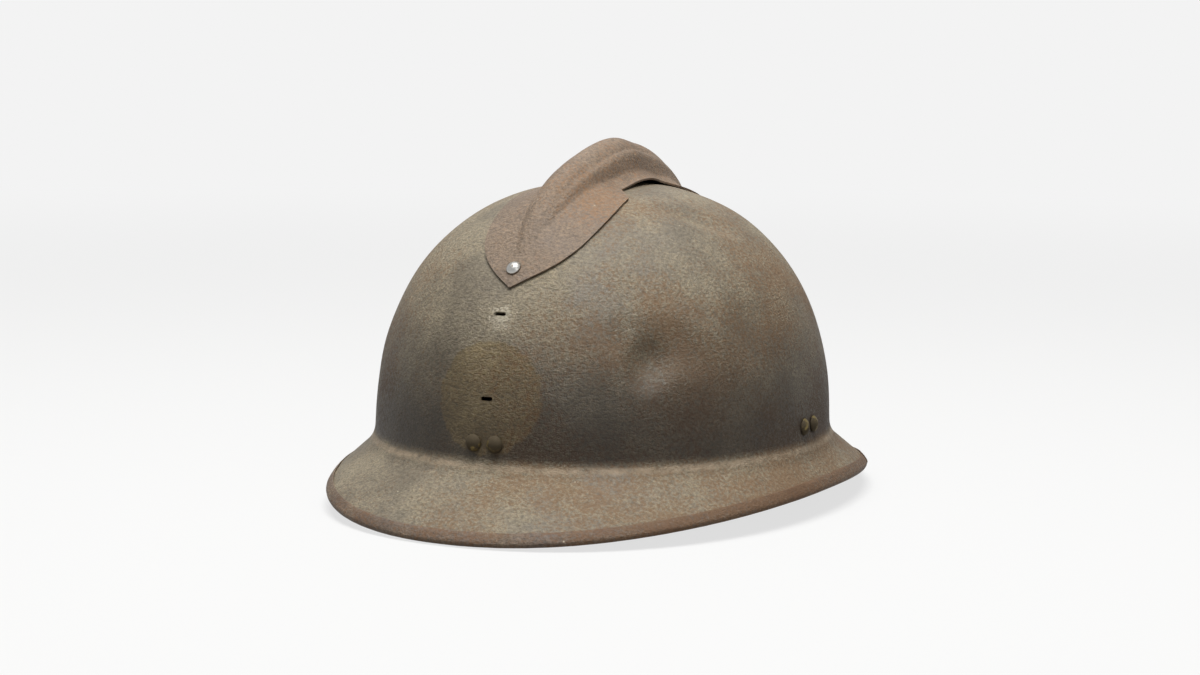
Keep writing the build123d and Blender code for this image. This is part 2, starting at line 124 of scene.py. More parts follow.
world = bpy.data.worlds.new("studio")
world.use_nodes = True
bpy.context.scene.world = world
sky = world.node_tree.nodes["Background"]
sky.inputs["Color"].default_value = linear(backdrop_white)
sky_path = add_node(world, "ShaderNodeLightPath")
seen_straight = add_node(world, "ShaderNodeMath", {
    0: sky_path.outputs["Is Camera Ray"], 1: sky_path.outputs["Is Transmission Ray"]}, operation="MAXIMUM")
seen_or_mirrored = add_node(world, "ShaderNodeMath", {
    0: sky_path.outputs["Is Glossy Ray"], 1: mirrored_share, 2: seen_straight.outputs[0]},
    operation="MULTIPLY_ADD")
sky_level = add_node(world, "ShaderNodeMapRange", {
    "Value": seen_or_mirrored.outputs[0], "To Min": dim_world_share, "To Max": 1.0})
world.node_tree.links.new(sky_level.outputs[0], sky.inputs["Strength"])

lamp_aim = Vector((0, 0, 0.06))
for lamp_name, lamp_place, lamp_size, lamp_power in (
    ("overhead", (0.08, -0.24, 1.5), 1.0, 38),
    ("fill", (1.4, -1.2, 0.9), 1.0, 2.5),
    ("back", (-0.6, 1.2, 1.0), 0.8, 1.2),
):
    lamp_data = bpy.data.lights.new(lamp_name, "AREA")
    lamp_data.size = lamp_size
    lamp_data.energy = lamp_power
    lamp = bpy.data.objects.new(lamp_name, lamp_data)
    lamp.location = lamp_place
    lamp.rotation_euler = (lamp_aim - lamp.location).to_track_quat("-Z", "Y").to_euler()
    bpy.context.scene.collection.objects.link(lamp)

# Camera: fitted to the photograph by its rim, crest and rivets, 1.2 m from the helmet, turned to the
# wearer's left and a little above, and rolled by about half a degree.
camera_turn = math.radians(26.27)
camera_climb = math.radians(7.53)
camera_roll = math.radians(0.59)
camera_distance = 1.2
camera_target = Vector((0, 0, 0.060))
towards_camera = Vector((
    math.sin(camera_turn) * math.cos(camera_climb),
    -math.cos(camera_turn) * math.cos(camera_climb),
    math.sin(camera_climb),
))
level_right = Vector((math.cos(camera_turn), math.sin(camera_turn), 0))
level_up = towards_camera.cross(level_right)
right = level_right * math.cos(camera_roll) + level_up * math.sin(camera_roll)
up = level_up * math.cos(camera_roll) - level_right * math.sin(camera_roll)
camera_data = bpy.data.cameras.new("camera")
camera_data.sensor_width = 36
camera_data.lens = 83.5
camera_data.shift_x = -0.0046
camera_data.shift_y = 0.0110
camera = bpy.data.objects.new("camera", camera_data)
bpy.context.scene.collection.objects.link(camera)
camera_axes = Matrix((right, up, towards_camera)).transposed().to_4x4()
camera.matrix_world = Matrix.Translation(camera_target + towards_camera * camera_distance) @ camera_axes
bpy.context.scene.camera = camera
bpy.context.scene.view_settings.view_transform = "Standard"

# Shell: skull and brim deep-drawn from one sheet of 1 mm steel, so the dome runs into the brim round a
# small bend. It is spun as a round blank and pressed to the oval of a head. Dents come from use.
bowl_length = 0.1085
bowl_width = 0.095
bowl_rise = 0.1075
bowl_squareness = 2.33
sheet = 0.001
crease_height = 0.0255
crease_bend = 0.006
brim_length = 0.141
brim_width = 0.106
brim_squareness = 2.15
rim_height = 0.00133
rim_side_rise = 0.0095
rim_crown = 0.0009
edging_width = 0.005
full_turn = 2 * math.pi


def oval_point(half_width, half_length, squareness, turn):
    """A point of a plan outline; turn 0 is the front and it grows to the wearer's left."""
    across = math.copysign(abs(math.sin(turn)) ** (2 / squareness), math.sin(turn))
    along = math.copysign(abs(math.cos(turn)) ** (2 / squareness), math.cos(turn))
    return Vector((half_width * across, -half_length * along, 0))


def brim_section(turn):
    """Foot and rim of the brim at one turn, the way down it and the way out of its skin."""
    foot = oval_point(bowl_width, bowl_length, 2, turn) + Vector((0, 0, crease_height))
    rim = oval_point(brim_width, brim_length, brim_squareness, turn)
    rim.z = rim_height + rim_side_rise * math.sin(turn) ** 2
    down = (rim - foot).normalized()
    level = Vector((down.x, down.y, 0))
    out = (level.normalized() * -down.z + Vector((0, 0, level.length))).normalized()
    return foot, rim, down, out


def brim_point(turn, from_rim, off_skin=0):
    """A point on the brim, a distance up from the rim and a distance out of its skin."""
    foot, rim, down, out = brim_section(turn)
    full = (rim - foot).length
    if from_rim < edging_width:
        share = from_rim / edging_width
        crown = rim_crown * share * (2 - max(share, 0))
    else:
        crown = rim_crown * max(0, 1 - (from_rim - edging_width) / (full - crease_bend - edging_width))
    return rim - down * from_rim + out * (crown + off_skin)


def bowl_point(turn, climb, inset=0, rise=bowl_rise):
    """A point of the skull, or of a liner piece nested in it, at a climb from the crease up."""
    reach = math.cos(climb) ** (2 / bowl_squareness)
    lift = math.sin(climb) ** (2 / bowl_squareness)
    point = oval_point((bowl_width - inset) * reach, (bowl_length - inset) * reach, 2, turn)
    point.z = crease_height + (rise - inset) * lift
    return point


rim_steps = 5
brim_steps = 14
bend_steps = 7
bowl_steps = 74
bend_climb = math.asin((crease_bend / bowl_rise) ** (bowl_squareness / 2))


def shell_point(turn, step):
    """One point of the shell's outer skin, counted from the rim up to the crown."""
    foot, rim, down, out = brim_section(turn)
    bend_end = (rim - foot).length - crease_bend
    if step <= rim_steps:
        return brim_point(turn, edging_width * step / rim_steps)
    step -= rim_steps
    if step <= brim_steps:
        return brim_point(turn, edging_width + (bend_end - edging_width) * step / brim_steps)
    step -= brim_steps
    if step <= bend_steps:
        share = step / bend_steps
        low = foot + down * crease_bend
        high = foot + Vector((0, 0, crease_bend))
        return low * (1 - share) ** 2 + foot * 2 * share * (1 - share) + high * share ** 2
    step -= bend_steps
    return bowl_point(turn, bend_climb + (math.pi / 2 - bend_climb) * step / bowl_steps)


def spun_blank(rings, steps, angle=full_turn, closed=False):
    """A line of vertices spun round the upright axis, where each vertex's height is its place in the line."""
    form = bmesh.new()
    line = [form.verts.new((0, -1, ring)) for ring in range(rings)]
    pairs = list(zip(line, line[1:])) + ([(line[-1], line[0])] if closed else [])
    line_edges = [form.edges.new(pair) for pair in pairs]
    bmesh.ops.spin(form, geom=line + line_edges, axis=(0, 0, 1), cent=(0, 0, 0), angle=angle,
                   steps=steps, use_merge=not closed)
    return form


def dent_depth(point, centre, long_way, half_long, half_wide, depth):
    """How far a dent pushes the skin in at a point: a soft bowl, longer along one way."""
    off = point - centre
    along = off.dot(long_way)
    aside = (off - long_way * along).length
    away = math.hypot(along / half_long, aside / half_wide)
    return depth * max(0, 1 - away ** 2) ** 2 if away < 1 else 0


dents = (
    (Vector((0.0580, -0.0781, 0.067)), Vector((0.5, 0.3, 0.81)).normalized(), 0.016, 0.013, 0.0040),
    (Vector((0.0625, -0.0735, 0.075)), Vector((0.75, 0.62, -0.2)).normalized(), 0.032, 0.016, 0.0024),
    (Vector((0.0495, -0.0158, 0.1204)), Vector((0.75, 0.63, -0.2)).normalized(), 0.027, 0.010, 0.0026),
    (Vector((0.0850, -0.0330, 0.084)), Vector((0.1, 0.3, 0.95)).normalized(), 0.030, 0.016, 0.0016),
)

# Besides the dents the sheet ripples a little, but for its rim, which the edging holds
ripple_depth = 0.00035
ripple_size = 1 / 38
ripple_start = 0.02
shell_rings = rim_steps + brim_steps + bend_steps + bowl_steps
shell_form = spun_blank(shell_rings + 1, 360)
for corner in shell_form.verts:
    corner.co = shell_point(math.atan2(corner.co.x, -corner.co.y), round(corner.co.z))
bmesh.ops.remove_doubles(shell_form, verts=shell_form.verts, dist=0.00005)
bmesh.ops.recalc_face_normals(shell_form, faces=shell_form.faces)
shell_form.normal_update()
moves = []
for corner in shell_form.verts:
    push = sum(dent_depth(corner.co, *dent) for dent in dents)
    rim_point = brim_point(math.atan2(corner.co.x, -corner.co.y), 0)
    above_rim = min(1, (corner.co - rim_point).length / ripple_start)
    push += ripple_depth * above_rim * noise.noise(corner.co / ripple_size)
    moves.append((corner, corner.normal * -push))
for corner, move in moves:
    corner.co += move


def with_modifiers(piece):
    """Makes a piece's modifiers part of its mesh."""
    bpy.context.view_layer.update()
    ready = piece.evaluated_get(bpy.context.evaluated_depsgraph_get())
    old = piece.data
    piece.data = bpy.data.meshes.new_from_object(ready)
    piece.modifiers.clear()
    bpy.data.meshes.remove(old)


def give_wall(piece, thickness):
    """Gives a skin its wall, laid on the inside."""
    wall = piece.modifiers.new("wall", "SOLIDIFY")
    wall.thickness = thickness
    wall.offset = -1


def cut_out(piece, cutter_form, material):
    """Cuts the cutter's form out of a piece that has its wall."""
    cutter = new_object("cutter", cutter_form, material)
    cut = piece.modifiers.new("cut", "BOOLEAN")
    cut.object = cutter
    cut.solver = "EXACT"
    with_modifiers(piece)
    bpy.data.objects.remove(cutter)


def smooth(piece, angle=35):
    """Smooth shading, with the edges sharper than the angle left crisp."""
    for face in piece.data.polygons:
        face.use_smooth = True
    piece.data.set_sharp_from_angle(angle=math.radians(angle))


# Old helmet paint: drab olive oil paint, brushed on twice, that age has browned. It has wrinkled into a
# skin of small bumps, fine rust grows through it, and dirt lies in it, so it is matt with dull glints.
def old_paint(name, coat, dark_coat, rust, rust_share):
    """The aged paint on one piece, as its material and its shader."""
    paint = new_material(name)
    place = add_node(paint, "ShaderNodeTexCoord").outputs["Object"]
    patches = add_node(paint, "ShaderNodeTexNoise", {
        "Vector": place, "Scale": 1 / 0.03, "Detail": 6, "Roughness": 0.65})
    patch_share = add_node(paint, "ShaderNodeMapRange", {
        "Value": patches.outputs[0], "From Min": 0.35, "From Max": 0.65}, interpolation_type="SMOOTHSTEP")
    tone = add_node(paint, "ShaderNodeMix", {
        "Factor": patch_share.outputs[0], "A": linear(dark_coat), "B": linear(coat)}, data_type="RGBA")
    # Wrinkles of the dried skin, 1.5 mm long and lying level, and the grain on them, 0.6 mm
    level = add_node(paint, "ShaderNodeVectorMath", {0: place, 1: (1, 1, 1.6)}, operation="MULTIPLY")
    bumps = add_node(paint, "ShaderNodeTexNoise", {
        "Vector": level.outputs[0], "Scale": 1 / 0.0015, "Detail": 3, "Roughness": 0.65})
    grain = add_node(paint, "ShaderNodeTexNoise", {
        "Vector": place, "Scale": 1 / 0.0006, "Detail": 3, "Roughness": 0.8})
    dirt = add_node(paint, "ShaderNodeMath", {0: grain.outputs[0], 1: 0.6, 2: bumps.outputs[0]},
                    operation="MULTIPLY_ADD")
    dirt_share = add_node(paint, "ShaderNodeMapRange", {
        "Value": dirt.outputs[0], "From Min": 0.6, "From Max": 1.0, "To Min": 0.54, "To Max": 1.4})
    dirty = add_node(paint, "ShaderNodeMix", {
        "Factor": 1.0, "A": tone.outputs[2], "B": dirt_share.outputs[0]},
        data_type="RGBA", blend_type="MULTIPLY")
    # Rust that shows in flecks of 1 to 2 mm, thicker in drifts and towards the wearer's left
    sideways = add_node(paint, "ShaderNodeSeparateXYZ", {0: place}).outputs["X"]
    left_more = add_node(paint, "ShaderNodeMapRange", {
        "Value": sideways, "From Min": 0.0, "From Max": 0.09, "To Max": 0.12})
    drifts = add_node(paint, "ShaderNodeTexNoise", {"Vector": place, "Scale": 1 / 0.04, "Detail": 3})
    drifted = add_node(paint, "ShaderNodeMath", {0: drifts.outputs[0], 1: 0.7, 2: left_more.outputs[0]},
                       operation="MULTIPLY_ADD")
    flecks = add_node(paint, "ShaderNodeTexNoise", {
        "Vector": place, "Scale": 1 / 0.0014, "Detail": 4, "Roughness": 0.7})
    fleck_sum = add_node(paint, "ShaderNodeMath", {0: drifted.outputs[0], 1: flecks.outputs[0]},
                         operation="ADD")
    rust_mask = add_node(paint, "ShaderNodeMapRange", {
        "Value": fleck_sum.outputs[0], "From Min": 0.95 - rust_share, "From Max": 1.22 - rust_share,
        "To Max": 0.62}, interpolation_type="SMOOTHSTEP")
    rusty = add_node(paint, "ShaderNodeMix", {
        "Factor": rust_mask.outputs[0], "A": dirty.outputs[2], "B": linear(rust)}, data_type="RGBA")
    # Pale chips and dust specks, under 1 mm
    specks = add_node(paint, "ShaderNodeTexVoronoi", {"Vector": place, "Scale": 1 / 0.011})
    speck_mask = add_node(paint, "ShaderNodeMapRange", {
        "Value": specks.outputs["Distance"], "From Min": 0.04, "From Max": 0.02, "To Max": 0.6})
    specked = add_node(paint, "ShaderNodeMix", {
        "Factor": speck_mask.outputs[0], "A": rusty.outputs[2], "B": linear("#c9bfa9")}, data_type="RGBA")
    surface = add_node(paint, "ShaderNodeMath", {0: rust_mask.outputs[0], 1: -0.2, 2: dirt.outputs[0]},
                       operation="MULTIPLY_ADD")
    wrinkled = add_node(paint, "ShaderNodeMapRange", {
        "Value": patches.outputs[0], "From Min": 0.35, "From Max": 0.65, "To Min": 0.35, "To Max": 0.9})
    relief = add_node(paint, "ShaderNodeBump", {
        "Height": surface.outputs[0], "Distance": 0.0009, "Strength": wrinkled.outputs[0]})
    gloss = add_node(paint, "ShaderNodeMapRange", {
        "Value": rust_mask.outputs[0], "To Min": 0.5, "To Max": 0.85})
    coated = add_node(paint, "ShaderNodeBsdfPrincipled", {
        "Base Color": specked.outputs[2], "Roughness": gloss.outputs[0], "IOR": 1.48,
        "Normal": relief.outputs[0]})
    add_node(paint, "ShaderNodeOutputMaterial", {"Surface": coated.outputs[0]})
    return paint, coated


def over_coat(paint, coated, mask, colour, blend="MIX"):
    """Lays one more colour over a painted piece where its mask says."""
    laid = add_node(paint, "ShaderNodeMix", {
        "Factor": mask, "A": coated.inputs["Base Color"].links[0].from_socket, "B": linear(colour)},
        data_type="RGBA", blend_type=blend)
    paint.node_tree.links.new(laid.outputs[2], coated.inputs["Base Color"])


shell_paint, shell_coat = old_paint("old olive oil paint on steel", "#857a64", "#665d4d", "#6e4d2c", 0.11)
spot = add_node(shell_paint, "ShaderNodeTexCoord").outputs["Object"]
spot_parts = add_node(shell_paint, "ShaderNodeSeparateXYZ", {0: spot})
spot_height = spot_parts.outputs["Z"]
# Painted shade: the skull is darker just above the crease, where its upright wall turns away from the
# overhead lamp, with dirt and old grease that have stayed there
painted_low_shade = add_node(shell_paint, "ShaderNodeMapRange", {
    "Value": spot_height, "From Min": 0.095, "From Max": 0.034, "To Max": 0.85},
    interpolation_type="SMOOTHSTEP")
on_skull = add_node(shell_paint, "ShaderNodeMapRange", {
    "Value": spot_height, "From Min": 0.0262, "From Max": 0.0305}, interpolation_type="SMOOTHSTEP")
# The badge that was once there has kept a disc of the paint cleaner and yellower
disc_height = 0.053
disc_radius = 0.0248
flat_spot = add_node(shell_paint, "ShaderNodeVectorMath", {0: spot, 1: (1, 0, 1)}, operation="MULTIPLY")
off_disc = add_node(shell_paint, "ShaderNodeVectorMath", {0: flat_spot.outputs[0], 1: (0, 0, disc_height)},
                    operation="DISTANCE")
disc_edge = add_node(shell_paint, "ShaderNodeTexNoise", {"Vector": spot, "Scale": 1 / 0.006, "Detail": 4})
disc_reach = add_node(shell_paint, "ShaderNodeMath", {
    0: disc_edge.outputs[0], 1: 0.006, 2: off_disc.outputs["Value"]}, operation="MULTIPLY_ADD")
disc = add_node(shell_paint, "ShaderNodeMapRange", {
    "Value": disc_reach.outputs[0], "From Min": disc_radius + 0.0014, "From Max": disc_radius},
    interpolation_type="SMOOTHSTEP")
in_front = add_node(shell_paint, "ShaderNodeMapRange", {
    "Value": spot_parts.outputs["Y"], "From Min": -0.05, "From Max": -0.07})
front_disc = add_node(shell_paint, "ShaderNodeMath", {0: disc.outputs[0], 1: in_front.outputs[0]},
                      operation="MULTIPLY")
cleaner = add_node(shell_paint, "ShaderNodeMapRange", {
    "Value": front_disc.outputs[0], "To Min": 1.0, "To Max": 0.62})
skull_shade_share = add_node(shell_paint, "ShaderNodeMath", {0: painted_low_shade.outputs[0], 1: on_skull.outputs[0]},
                  operation="MULTIPLY")
shade_and_grime = add_node(shell_paint, "ShaderNodeMath", {0: skull_shade_share.outputs[0], 1: cleaner.outputs[0]},
                  operation="MULTIPLY")
# Lays the painted shade and grime over the low skull wall, less of it on the badge's disc
over_coat(shell_paint, shell_coat, shade_and_grime.outputs[0], "#6a6058", "MULTIPLY")
over_coat(shell_paint, shell_coat, front_disc.outputs[0], "#f2e6c6", "MULTIPLY")
# Round the upper badge slot the paint has chipped to a pale ground
chip_centre = (0.001, -0.0946, 0.084)
off_slot = add_node(shell_paint, "ShaderNodeVectorMath", {0: spot, 1: chip_centre}, operation="DISTANCE")
chip_noise = add_node(shell_paint, "ShaderNodeTexNoise", {
    "Vector": spot, "Scale": 1 / 0.0013, "Detail": 4, "Roughness": 0.7})
chip_reach = add_node(shell_paint, "ShaderNodeMath", {
    0: chip_noise.outputs[0], 1: -0.024, 2: off_slot.outputs["Value"]}, operation="MULTIPLY_ADD")
chips = add_node(shell_paint, "ShaderNodeMapRange", {
    "Value": chip_reach.outputs[0], "From Min": -0.0065, "From Max": -0.0095, "To Max": 0.6},
    interpolation_type="SMOOTHSTEP")
over_coat(shell_paint, shell_coat, chips.outputs[0], "#b9b09c")
# Along the crease the paint is rubbed through to a tan undercoat
off_crease = add_node(shell_paint, "ShaderNodeMath", {0: spot_height, 1: crease_height + 0.0004},
                      operation="SUBTRACT")
from_crease = add_node(shell_paint, "ShaderNodeMath", {0: off_crease.outputs[0]}, operation="ABSOLUTE")
crease_line = add_node(shell_paint, "ShaderNodeMapRange", {
    "Value": from_crease.outputs[0], "From Min": 0.0022, "From Max": 0.0002}, interpolation_type="SMOOTHSTEP")
rub = add_node(shell_paint, "ShaderNodeTexNoise", {"Vector": spot, "Scale": 1 / 0.004, "Detail": 5})
rub_share = add_node(shell_paint, "ShaderNodeMapRange", {
    "Value": rub.outputs[0], "From Min": 0.25, "From Max": 0.65, "To Max": 0.85})
rubbed = add_node(shell_paint, "ShaderNodeMath", {0: crease_line.outputs[0], 1: rub_share.outputs[0]},
                  operation="MULTIPLY")
over_coat(shell_paint, shell_coat, rubbed.outputs[0], "#a4927a")
shell_pressing = new_object("shell_pressing", shell_form, shell_paint)
give_wall(shell_pressing, sheet)

# Two level slots for the badge's tabs, and fourteen air holes in two rows under the comb
slot_length = 0.0052
slot_width = 0.0016
slot_depth = 0.012
slots = ((Vector((0, -0.1058, 0.0527)), 14), (Vector((0, -0.0946, 0.0852)), 35))
air_hole_radius = 0.00175
air_hole_pitch = 0.011
air_hole_depth = 0.03
air_holes_in_row = 7
air_row_off_centre = 0.0045
cutter_form = bmesh.new()
for slot_place, lean in slots:
    made = bmesh.ops.create_cube(cutter_form, size=1)["verts"]
    bmesh.ops.scale(cutter_form, vec=(slot_length, slot_depth, slot_width), verts=made)
    upright = [edge for edge in cutter_form.edges
               if edge.verts[0] in made and edge.verts[1] in made
               and abs((edge.verts[0].co - edge.verts[1].co).normalized().y) > 0.9]
    bmesh.ops.bevel(cutter_form, geom=upright, offset=slot_width * 0.45, affect="EDGES", segments=4,
                    profile=0.5, material=-1)
    fresh = [corner for corner in cutter_form.verts if corner.co.length < slot_depth]
    leaned = Matrix.Rotation(math.radians(-lean), 3, "X")
    bmesh.ops.rotate(cutter_form, cent=(0, 0, 0), matrix=leaned, verts=fresh)
    bmesh.ops.translate(cutter_form, vec=slot_place, verts=fresh)
for row in (-1, 1):
    for step in range(air_holes_in_row):
        along = (step - (air_holes_in_row - 1) / 2) * air_hole_pitch
        hole_place = Vector((row * air_row_off_centre, along, crease_height + bowl_rise))
        bmesh.ops.create_cone(cutter_form, cap_ends=True, segments=20, radius1=air_hole_radius,
                              radius2=air_hole_radius, depth=air_hole_depth,
                              matrix=Matrix.Translation(hole_place))
cut_out(shell_pressing, cutter_form, shell_paint)
smooth(shell_pressing)
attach(shell_pressing, "helmet")
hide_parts("shell")


# Rim edging: a thin steel strip folded over the brim's raw edge and pinched shut, its two ends butted at
# the left rear. It carries old paint like the shell's, a little browner.
edging_wall = 0.0005
edging_clearance = 0.00015
edging_joint_turn = math.radians(118)
edging_joint_gap = 0.0032
edging_outside = edging_wall + edging_clearance
# One end of the strip has sprung up a little; its upper edge wavers, and knocks have left it uneven
sprung_turn = 0.06
sprung_lift = 0.00045
edge_waver = 0.0003
edging_dents = 0.00008
fold = (
    (edging_width, edging_outside * 0.7), (edging_width - 0.0003, edging_outside), (0.003, edging_outside),
    (0.001, edging_outside), (0.0002, edging_outside * 0.95), (-0.0003, edging_outside * 0.6),
    (-0.0006, -0.0002), (-0.0006, -0.0008), (-0.0003, -sheet - edging_outside * 0.6),
    (0.0002, -sheet - edging_outside * 0.95), (0.001, -sheet - edging_outside),
    (0.003, -sheet - edging_outside), (edging_width, -sheet - edging_outside),
    (edging_width, -sheet - edging_clearance), (0.0002, -sheet - edging_clearance),
    (-0.0001, -0.0008), (-0.0001, -0.0002), (0.0002, edging_clearance), (edging_width, edging_clearance),
)
edging_form = spun_blank(len(fold), 480, full_turn - edging_joint_gap, closed=True)
for corner in edging_form.verts:
    turn = math.atan2(corner.co.x, -corner.co.y) % full_turn
    from_rim, off_skin = fold[round(corner.co.z)]
    uneven = Vector((math.sin(turn), math.cos(turn), 0))
    if from_rim > edging_width * 0.8:
        from_rim += edge_waver * noise.noise(uneven * 14)
    sprung = max(0, 1 - turn / sprung_turn) ** 2
    off_skin += sprung_lift * sprung + edging_dents * noise.noise(uneven * 25 + Vector((0, 0, 5)))
    corner.co = brim_point(turn + edging_joint_turn, from_rim, off_skin)
bmesh.ops.holes_fill(edging_form, edges=[edge for edge in edging_form.edges if edge.is_boundary], sides=0)
bmesh.ops.recalc_face_normals(edging_form, faces=edging_form.faces)
edging_paint = old_paint("old brown oil paint on the edging", "#705f4c", "#54463a", "#6b4a2c", 0.16)[0]
edging = new_object("folded_edging", edging_form, edging_paint)
smooth(edging, 40)
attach(edging, "helmet")
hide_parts("rim_edging")

# Crest: one steel pressing. Two pointed shields lie on the dome, joined by a narrow neck that stands off it
# to let air out, and a hollow comb runs along all three. It is rustier than the shell, as it takes knocks.
crest_wall = 0.0008
crest_rows = 340
crest_columns = 72
front_shift = 0.0011
front_shift_start = 0.03
front_shift_run = 0.03
crest_waver = 0.00028
crest_seat = 0.0003
crest_reach = 0.0902
crest_tip_round = 0.0112
shield_half_width = 0.0262
rear_shield_half_width = 0.0235
neck_half_width = 0.0178
front_notch = 0.0265
rear_notch = 0.0195
notch_run = 0.0077
tuck_share = 0.04
tuck_run = 0.02
vent_lift = 0.0019
vent_start = -0.024
vent_rise = 0.030
vent_end = 0.024
vent_fall = 0.018
comb_height = 0.0157
comb_centre = 0.0185
comb_front_run = 0.098
comb_rear_run = 0.0632
comb_shoulder = 0.0104
comb_wall_foot = 0.0122
comb_spread_start = 0.018
comb_spread_run = 0.025
bead_share = 0.26
bead_half_width = 0.0076


def eased(share):
    """A share held between 0 and 1, that starts and ends softly."""
    share = min(1, max(0, share))
    return share * share * (3 - 2 * share)


def dome_height(x, y):
    """Height of the dome's skin over the plan, and how upright its normal is there."""
    reach = min(math.hypot(x / bowl_width, y / bowl_length), 0.999)
    lift = (1 - reach ** bowl_squareness) ** (1 / bowl_squareness)
    pull = max(reach, 0.01) ** (bowl_squareness - 2)
    normal = Vector((pull * x / bowl_width ** 2, pull * y / bowl_length ** 2,
                     lift ** (bowl_squareness - 1) / bowl_rise)).normalized()
    return crease_height + bowl_rise * lift, normal.z


def shield_width(y):
    """Half the width that the shields have towards their pointed tips, without the notches."""
    full = shield_half_width if y < 0 else rear_shield_half_width
    return full * (1 - math.exp((abs(y) - crest_reach) / crest_tip_round))


def crest_half_width(y):
    """Half the crest's width at a place along it: shield, notch, neck, notch, shield."""
    notch = front_notch if y < 0 else rear_notch
    into_shield = min(1, max(0, (abs(y) - notch + notch_run / 2) / notch_run))
    tucked = shield_width(y) * (1 - tuck_share + tuck_share * eased((abs(y) - notch) / tuck_run))
    return neck_half_width + (tucked - neck_half_width) * into_shield


def crest_height(x, y):
    """Height of the crest's top skin: the flange on the dome, and the comb with its wall, foot and bead."""
    skin, upright = dome_height(x, y)
    vent = vent_lift * eased((y - vent_start) / vent_rise) * eased((vent_end - y) / vent_fall)
    flange = skin + (crest_seat + vent + crest_wall) / upright
    run = abs(y - comb_centre) / (comb_front_run if y < comb_centre else comb_rear_run)
    if run >= 1:
        return flange
    narrowing = (1 - run ** 2.4) ** 0.6 + 0.0001
    shoulder = comb_shoulder * narrowing
    spread = eased((abs(y) - comb_spread_start) / comb_spread_run)
    edge = neck_half_width + (shield_width(y) - neck_half_width) * spread
    wall = max(0, 1 - (abs(x) / (comb_wall_foot * narrowing)) ** (8 - 5 * run ** 2)) ** (1.3 - 0.3 * run ** 2)
    foot = min(1, max(0, (edge - abs(x)) / max(0.0001, edge - shoulder))) ** 2
    bead = max(0, 1 - (abs(x) / (bead_half_width * narrowing)) ** 2) ** 0.9
    rise = comb_height * (1 - run ** 2) ** 0.85
    return flange + rise * ((1 - bead_share) * (0.58 * wall + 0.42 * foot) + bead_share * bead)


crest_form = bmesh.new()
bmesh.ops.create_grid(crest_form, x_segments=crest_columns, y_segments=crest_rows, size=1)
for corner in crest_form.verts:
    y = crest_reach * math.sin(math.pi / 2 * corner.co.y)
    x = corner.co.x * crest_half_width(y) + front_shift * eased((-y - front_shift_start) / front_shift_run)
    corner.co = (x, y, crest_height(x, y))
bmesh.ops.remove_doubles(crest_form, verts=crest_form.verts, dist=0.00002)
bmesh.ops.recalc_face_normals(crest_form, faces=crest_form.faces)
crest_form.normal_update()
for corner in crest_form.verts:
    corner.co.z += crest_waver * noise.noise(corner.co * 60)
crest_paint = old_paint("old rusted paint on the crest", "#7d6b58", "#675747", "#8a6440", 0.10)[0]
crest = new_object("crest_pressing", crest_form, crest_paint)
give_wall(crest, crest_wall)
with_modifiers(crest)
smooth(crest, 50)
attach(crest, "helmet")
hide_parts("crest")


# Crest rivets: bright steel, their round heads rubbed clean of paint, closed inside on brass washers.
def metal(name, base, dark, roughness, soil):
    """An aged bare metal: its own colour, the dull film in its patches, and fine pits."""
    made = new_material(name)
    place = add_node(made, "ShaderNodeTexCoord").outputs["Object"]
    film = add_node(made, "ShaderNodeTexNoise", {"Vector": place, "Scale": 1 / 0.004, "Detail": 5})
    film_share = add_node(made, "ShaderNodeMapRange", {
        "Value": film.outputs[0], "From Min": 0.62 - soil, "From Max": 0.78 - soil},
        interpolation_type="SMOOTHSTEP")
    colour = add_node(made, "ShaderNodeMix", {
        "Factor": film_share.outputs[0], "A": linear(base), "B": linear(dark)}, data_type="RGBA")
    polish = add_node(made, "ShaderNodeMapRange", {
        "Value": film_share.outputs[0], "To Min": roughness, "To Max": min(0.9, roughness + 0.35)})
    shine = add_node(made, "ShaderNodeMapRange", {
        "Value": film_share.outputs[0], "To Min": 1.0, "To Max": 0.55})
    pits = add_node(made, "ShaderNodeTexNoise", {"Vector": place, "Scale": 1 / 0.0008, "Detail": 4})
    bumps = add_node(made, "ShaderNodeBump", {"Height": pits.outputs[0], "Distance": 0.0002, "Strength": 0.5})
    surface = add_node(made, "ShaderNodeBsdfPrincipled", {
        "Base Color": colour.outputs[2], "Metallic": shine.outputs[0], "Roughness": polish.outputs[0],
        "Normal": bumps.outputs[0]})
    add_node(made, "ShaderNodeOutputMaterial", {"Surface": surface.outputs[0]})
    return made


def dress(node, name, material, body="helmet"):
    """A piece with the frame's own shape, its facets joined and shaded smooth."""
    form = bmesh.new()
    form.from_mesh(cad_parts[node].data)
    bmesh.ops.remove_doubles(form, verts=form.verts, dist=0.000002)
    piece = new_object(name, form, material)
    smooth(piece, 30)
    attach(piece, body)
    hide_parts(node)


bright_steel = metal("bright riveted steel", "#c9c8c4", "#6f675c", 0.24, 0.1)
dull_brass = metal("dulled brass", "#84754c", "#4c4231", 0.48, 0.3)
dress("crest_rivets", "crest_rivet_pair", bright_steel)
dress("crest_rivet_washers", "crest_washers", dull_brass)

# Liner rivets and hooks: brass, in pairs on the front, rear and sides. The heads were painted over once
# and the paint has worn to a green-brown film; inside, the hooks are folded brass strip.
dress("liner_rivets", "liner_rivet_pairs", dull_brass)
hook_brass = metal("folded brass strip", "#9a8650", "#5c5135", 0.36, 0.2)
for side in ("front", "rear", "left", "right"):
    dress(side + "_liner_hook", side + "_hook", hook_brass)

# Hoop and lugs: spring steel strip, dulled to grey-brown, with a little rust where sweat has got at it.
dull_steel = metal("dulled steel strip", "#7d7870", "#57412f", 0.4, 0.22)
dress("liner_hoop", "hoop_strip", dull_steel)
for side in ("left", "right"):
    dress(side + "_bail_lug", side + "_lug", dull_steel)

